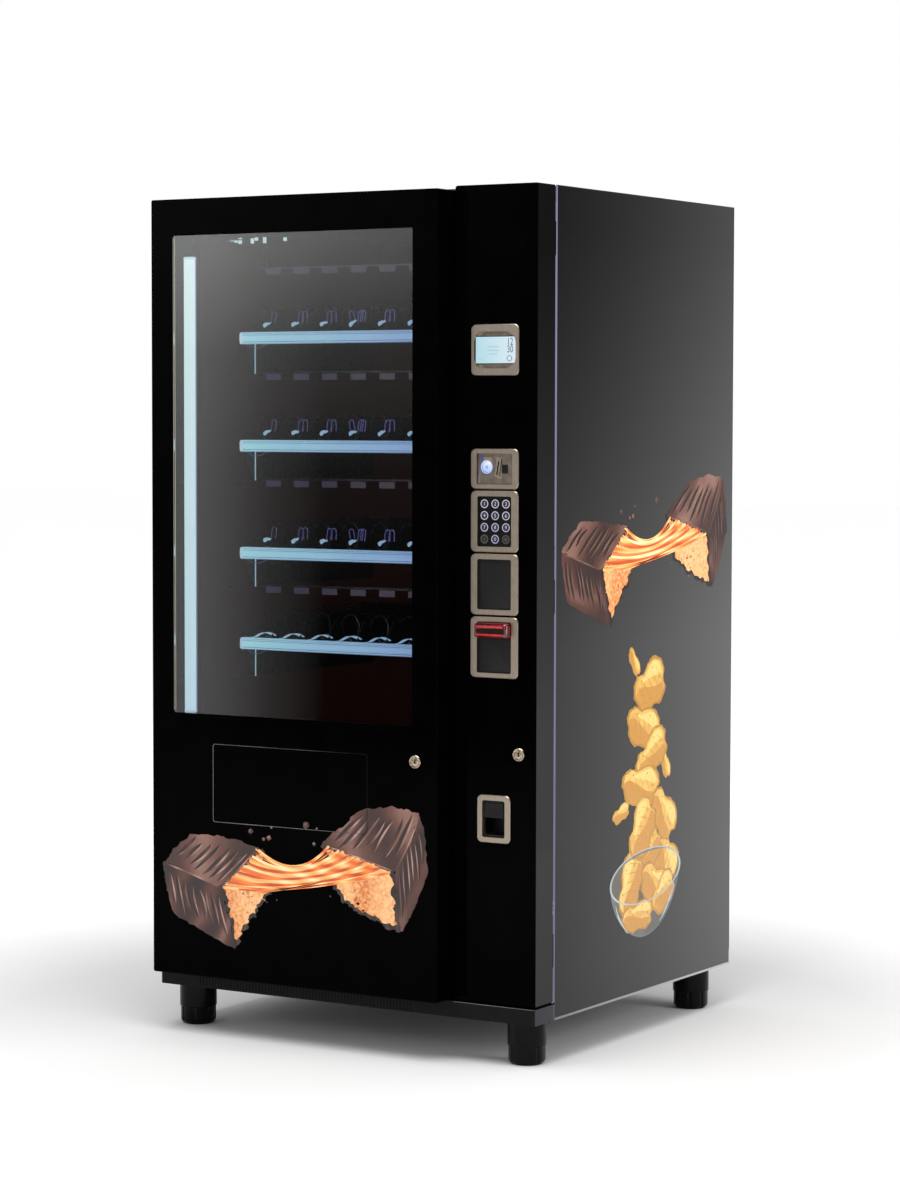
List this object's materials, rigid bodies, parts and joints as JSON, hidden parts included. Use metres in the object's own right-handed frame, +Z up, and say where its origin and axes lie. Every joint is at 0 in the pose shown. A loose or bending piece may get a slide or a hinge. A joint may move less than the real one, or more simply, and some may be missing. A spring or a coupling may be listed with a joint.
{
  "type": "snack vending machine",
  "caption": "Chilled snack vending machine with a glazed product door, a narrow payment door with keypad, spiral trays, a delivery flap and round feet.",
  "frame": {"origin": "on the floor under the middle of the machine's bounding box", "axes": "+X to the customer's right, +Y to the back of the machine, +Z up; the doors face -Y"},
  "size_m": [0.96, 0.964, 1.83],
  "materials": {
    "liner_paint": "satin dark liner and body paint",
    "grey_paint": "satin fine powder coat",
    "plinth_paint": "satin powder coat",
    "foot_plastic": "gloss moulded",
    "black_plastic": "matte moulded",
    "zinc_steel": "zinc plated",
    "spiral_wire": "drawn wire",
    "lit_plastic": "backlit translucent",
    "door_gloss": "high gloss black",
    "window_glass": "clear polished",
    "seal_rubber": "matte",
    "lock_nickel": "satin nickel plate",
    "bezel_metal": "satin champagne anodised",
    "screen_glass": "lit display pane",
    "button_plastic": "lit translucent",
    "key_plastic": "matte moulded with lit ring",
    "red_plastic": "clear red moulded"
  },
  "bodies": {
    "cabinet": {"cabinet": "liner_paint", "side_panel_left": "grey_paint", "side_panel_right": "grey_paint", "rear_cover": "grey_paint", "plinth": "plinth_paint", "foot_front_left": "foot_plastic", "foot_front_right": "foot_plastic", "foot_rear_left": "foot_plastic", "foot_rear_right": "foot_plastic", "cooling_unit": "black_plastic", "delivery_bin": "black_plastic", "coin_changer": "black_plastic", "product_hinge_rod": "zinc_steel", "payment_hinge_rod": "zinc_steel"},
    "product_door": {"product_door": "door_gloss", "window_glass": "window_glass", "door_seal": "seal_rubber", "lamp_bar": "lit_plastic"},
    "delivery_flap": {"delivery_flap": "door_gloss"},
    "product_lock": {"product_door_lock": "lock_nickel"},
    "payment_door": {"payment_door": "door_gloss", "display_module": "bezel_metal", "display_screen": "screen_glass", "coin_module": "bezel_metal", "keypad_module": "bezel_metal", "blank_module": "bezel_metal", "note_module": "bezel_metal", "note_snout": "red_plastic", "return_module": "bezel_metal"},
    "return_flap": {"return_flap": "black_plastic"},
    "payment_lock": {"payment_door_lock": "lock_nickel"},
    "reject_button": {"reject_button": "button_plastic"},
    "key_1": {"key_1": "key_plastic"},
    "key_2": {"key_2": "key_plastic"},
    "key_3": {"key_3": "key_plastic"},
    "key_4": {"key_4": "key_plastic"},
    "key_5": {"key_5": "key_plastic"},
    "key_6": {"key_6": "key_plastic"},
    "key_7": {"key_7": "key_plastic"},
    "key_8": {"key_8": "key_plastic"},
    "key_9": {"key_9": "key_plastic"},
    "key_info": {"key_info": "key_plastic"},
    "key_0": {"key_0": "key_plastic"},
    "key_enter": {"key_enter": "key_plastic"},
    "tray_1": {"tray_1": "zinc_steel", "price_rail_1": "lit_plastic"},
    "tray_2": {"tray_2": "zinc_steel", "price_rail_2": "lit_plastic"},
    "tray_3": {"tray_3": "zinc_steel", "price_rail_3": "lit_plastic"},
    "tray_4": {"tray_4": "zinc_steel", "price_rail_4": "lit_plastic"},
    "spiral_1": {"spiral_1": "spiral_wire"},
    "spiral_2": {"spiral_2": "spiral_wire"},
    "spiral_3": {"spiral_3": "spiral_wire"},
    "spiral_4": {"spiral_4": "spiral_wire"},
    "spiral_5": {"spiral_5": "spiral_wire"},
    "spiral_6": {"spiral_6": "spiral_wire"},
    "spiral_7": {"spiral_7": "spiral_wire"},
    "spiral_8": {"spiral_8": "spiral_wire"}
  },
  "joints": [
    {"name": "product_door_hinge", "type": "hinge", "parent": "cabinet", "child": "product_door", "pos_m": [-0.469, -0.3555, 0.9], "axis": [0, 0, -1], "range_deg": [0, 110]},
    {"name": "delivery_flap_hinge", "type": "hinge", "parent": "product_door", "child": "delivery_flap", "pos_m": [-0.09425, -0.474, 0.6365], "axis": [1, 0, 0], "range_deg": [0, 75]},
    {"name": "product_lock_turn", "type": "hinge", "parent": "product_door", "child": "product_lock", "pos_m": [0.2253, -0.482, 0.6337], "axis": [0, 1, 0], "range_deg": [0, 90]},
    {"name": "payment_door_hinge", "type": "hinge", "parent": "cabinet", "child": "payment_door", "pos_m": [0.4765, -0.341, 0.9], "axis": [0, 0, 1], "range_deg": [0, 105]},
    {"name": "return_flap_hinge", "type": "hinge", "parent": "payment_door", "child": "return_flap", "pos_m": [0.3805, -0.417, 0.55], "axis": [1, 0, 0], "range_deg": [0, 60]},
    {"name": "payment_lock_turn", "type": "hinge", "parent": "payment_door", "child": "payment_lock", "pos_m": [0.4389, -0.42, 0.6552], "axis": [0, 1, 0], "range_deg": [0, 90]},
    {"name": "reject_button_press", "type": "slide", "parent": "payment_door", "child": "reject_button", "axis": [0, 1, 0], "range_m": [0, 0.0025], "stiffness_N_per_m": 500, "springref_m": -0.001},
    {"name": "key_1_press", "type": "slide", "parent": "payment_door", "child": "key_1", "axis": [0, 1, 0], "range_m": [0, 0.0015], "stiffness_N_per_m": 500, "springref_m": -0.001},
    {"name": "key_2_press", "type": "slide", "parent": "payment_door", "child": "key_2", "axis": [0, 1, 0], "range_m": [0, 0.0015], "stiffness_N_per_m": 500, "springref_m": -0.001},
    {"name": "key_3_press", "type": "slide", "parent": "payment_door", "child": "key_3", "axis": [0, 1, 0], "range_m": [0, 0.0015], "stiffness_N_per_m": 500, "springref_m": -0.001},
    {"name": "key_4_press", "type": "slide", "parent": "payment_door", "child": "key_4", "axis": [0, 1, 0], "range_m": [0, 0.0015], "stiffness_N_per_m": 500, "springref_m": -0.001},
    {"name": "key_5_press", "type": "slide", "parent": "payment_door", "child": "key_5", "axis": [0, 1, 0], "range_m": [0, 0.0015], "stiffness_N_per_m": 500, "springref_m": -0.001},
    {"name": "key_6_press", "type": "slide", "parent": "payment_door", "child": "key_6", "axis": [0, 1, 0], "range_m": [0, 0.0015], "stiffness_N_per_m": 500, "springref_m": -0.001},
    {"name": "key_7_press", "type": "slide", "parent": "payment_door", "child": "key_7", "axis": [0, 1, 0], "range_m": [0, 0.0015], "stiffness_N_per_m": 500, "springref_m": -0.001},
    {"name": "key_8_press", "type": "slide", "parent": "payment_door", "child": "key_8", "axis": [0, 1, 0], "range_m": [0, 0.0015], "stiffness_N_per_m": 500, "springref_m": -0.001},
    {"name": "key_9_press", "type": "slide", "parent": "payment_door", "child": "key_9", "axis": [0, 1, 0], "range_m": [0, 0.0015], "stiffness_N_per_m": 500, "springref_m": -0.001},
    {"name": "key_info_press", "type": "slide", "parent": "payment_door", "child": "key_info", "axis": [0, 1, 0], "range_m": [0, 0.0015], "stiffness_N_per_m": 500, "springref_m": -0.001},
    {"name": "key_0_press", "type": "slide", "parent": "payment_door", "child": "key_0", "axis": [0, 1, 0], "range_m": [0, 0.0015], "stiffness_N_per_m": 500, "springref_m": -0.001},
    {"name": "key_enter_press", "type": "slide", "parent": "payment_door", "child": "key_enter", "axis": [0, 1, 0], "range_m": [0, 0.0015], "stiffness_N_per_m": 500, "springref_m": -0.001},
    {"name": "tray_1_slide", "type": "slide", "parent": "cabinet", "child": "tray_1", "axis": [0, -1, 0], "range_m": [0, 0.1]},
    {"name": "tray_2_slide", "type": "slide", "parent": "cabinet", "child": "tray_2", "axis": [0, -1, 0], "range_m": [0, 0.1]},
    {"name": "tray_3_slide", "type": "slide", "parent": "cabinet", "child": "tray_3", "axis": [0, -1, 0], "range_m": [0, 0.1]},
    {"name": "tray_4_slide", "type": "slide", "parent": "cabinet", "child": "tray_4", "axis": [0, -1, 0], "range_m": [0, 0.1]},
    {"name": "spiral_1_turn", "type": "hinge", "parent": "tray_1", "child": "spiral_1", "pos_m": [-0.35787, 0.2622, 1.56513], "axis": [0, 1, 0], "continuous": true},
    {"name": "spiral_2_turn", "type": "hinge", "parent": "tray_1", "child": "spiral_2", "pos_m": [-0.28163, 0.2622, 1.56513], "axis": [0, 1, 0], "continuous": true},
    {"name": "spiral_3_turn", "type": "hinge", "parent": "tray_1", "child": "spiral_3", "pos_m": [-0.20538, 0.2622, 1.56513], "axis": [0, 1, 0], "continuous": true},
    {"name": "spiral_4_turn", "type": "hinge", "parent": "tray_1", "child": "spiral_4", "pos_m": [-0.12912, 0.2622, 1.56513], "axis": [0, 1, 0], "continuous": true},
    {"name": "spiral_5_turn", "type": "hinge", "parent": "tray_1", "child": "spiral_5", "pos_m": [-0.05287, 0.2622, 1.56513], "axis": [0, 1, 0], "continuous": true},
    {"name": "spiral_6_turn", "type": "hinge", "parent": "tray_1", "child": "spiral_6", "pos_m": [0.02337, 0.2622, 1.56513], "axis": [0, 1, 0], "continuous": true},
    {"name": "spiral_7_turn", "type": "hinge", "parent": "tray_1", "child": "spiral_7", "pos_m": [0.09963, 0.2622, 1.56513], "axis": [0, 1, 0], "continuous": true},
    {"name": "spiral_8_turn", "type": "hinge", "parent": "tray_1", "child": "spiral_8", "pos_m": [0.17588, 0.2622, 1.56513], "axis": [0, 1, 0], "continuous": true}
  ]
}
